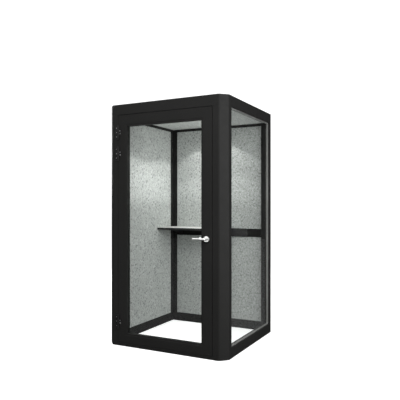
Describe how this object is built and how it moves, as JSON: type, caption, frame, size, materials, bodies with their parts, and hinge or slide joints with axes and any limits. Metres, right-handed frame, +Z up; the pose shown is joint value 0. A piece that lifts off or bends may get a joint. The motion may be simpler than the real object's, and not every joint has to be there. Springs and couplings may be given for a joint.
{
  "type": "telephone booth",
  "caption": "Walk-in acoustic telephone booth: dark steel frame, hinged glass door with lever, one glass side, felt-lined walls, corner desk, ceiling lamps and fan.",
  "frame": {"origin": "on the floor, under the centre of the whole envelope, the door's outer lever included", "axes": "+Z up; +Y from the door to the rear wall; +X to the right seen from the door side, towards the glass side"},
  "size_m": [1.26, 1.274, 2.3],
  "materials": {
    "frame_paint": "dark graphite powder coat, fine texture, on aluminium sections",
    "panel_paint": "dark graphite powder coat, fine texture, on steel sheet",
    "door_paint": "dark graphite powder coat, fine texture, on aluminium sections",
    "hood_paint": "dark powder coat",
    "channel": "satin anodised",
    "glass": "clear laminated glass",
    "felt": "pressed grey acoustic felt",
    "core": "mineral wool board",
    "rubber": "black seal rubber",
    "foot": "hard rubber pad on a steel stud",
    "steel": "brushed stainless steel",
    "hinge_black": "black powder coat",
    "screw": "plated steel",
    "desk": "light laminate on board",
    "bracket": "black powder coat",
    "black_plastic": "black matte plastic",
    "lamp_white": "white enamel",
    "diffuser": "opal diffuser"
  },
  "bodies": {
    "frame": {"acoustic_cores": "core", "base_front": "frame_paint", "base_left": "frame_paint", "base_rear": "frame_paint", "base_right": "frame_paint", "ceiling_felt": "felt", "ceiling_vents": "hood_paint", "crown_front": "frame_paint", "crown_left": "frame_paint", "crown_rear": "frame_paint", "crown_right": "frame_paint", "desk_brackets": "bracket", "desk_rail": "frame_paint", "desk_top": "desk", "door_seal": "rubber", "fan_frame": "black_plastic", "felt_left": "felt", "felt_rear_lower": "felt", "felt_rear_upper": "felt", "glazing_channel": "channel", "hinge_frame_plates": "hinge_black", "hinge_frame_screws": "screw", "hinge_pins": "hinge_black", "jamb_hinge": "frame_paint", "jamb_strike": "frame_paint", "lamp_cans": "lamp_white", "lamp_diffusers": "diffuser", "led_boards": "lamp_white", "levelling_feet": "foot", "mains_inlet": "black_plastic", "outlets": "black_plastic", "panel_left": "panel_paint", "panel_rear": "panel_paint", "post_front_left": "frame_paint", "post_front_right": "frame_paint", "post_rear_left": "frame_paint", "post_rear_right": "frame_paint", "power_box": "black_plastic", "roof_hoods": "hood_paint", "roof_panel": "panel_paint", "side_glass": "glass", "sill_rails": "frame_paint", "strike_plate": "steel"},
    "door": {"door_stile_hinge": "door_paint", "door_stile_lock": "door_paint", "door_rail_top": "door_paint", "door_rail_bottom": "door_paint", "door_glass": "glass", "glazing_beads": "door_paint", "hinge_door_plates": "hinge_black", "hinge_door_screws": "screw", "lock_case": "steel", "roses": "steel"},
    "handle": {"lever_outer": "steel", "lever_inner": "steel", "spindle": "steel"},
    "latch": {"latch_bolt": "steel"},
    "rotor": {"fan_rotor": "black_plastic"},
    "lamp_key": {"rocker_lamp": "black_plastic"},
    "fan_key": {"rocker_fan": "black_plastic"}
  },
  "joints": [
    {"name": "door_swing", "type": "hinge", "parent": "frame", "child": "door", "pos_m": [-0.4945, -0.5894, 1.1], "axis": [0, 0, -1], "range_deg": [0, 110]},
    {"name": "handle_turn", "type": "hinge", "parent": "door", "child": "handle", "pos_m": [0.4445, -0.556, 1.046], "axis": [0, -1, 0], "range_deg": [0, 45], "stiffness_Nm_per_rad": 1.2, "springref_deg": -20.05},
    {"name": "latch_slide", "type": "slide", "parent": "door", "child": "latch", "axis": [-1, 0, 0], "range_m": [0, 0.0115]},
    {"name": "fan_spin", "type": "hinge", "parent": "frame", "child": "rotor", "pos_m": [0.27, -0.062, 2.244], "axis": [0, 0, 1], "continuous": true},
    {"name": "rocker_lamp_tilt", "type": "hinge", "parent": "frame", "child": "lamp_key", "pos_m": [0.2915, 0.561, 1.042], "axis": [-1, 0, 0], "range_deg": [0, 16]},
    {"name": "rocker_fan_tilt", "type": "hinge", "parent": "frame", "child": "fan_key", "pos_m": [0.3245, 0.561, 1.042], "axis": [-1, 0, 0], "range_deg": [0, 16]}
  ],
  "couplings": [
    {"joint": "latch_slide", "follows": "handle_turn", "m_per_rad": 0.0146}
  ]
}
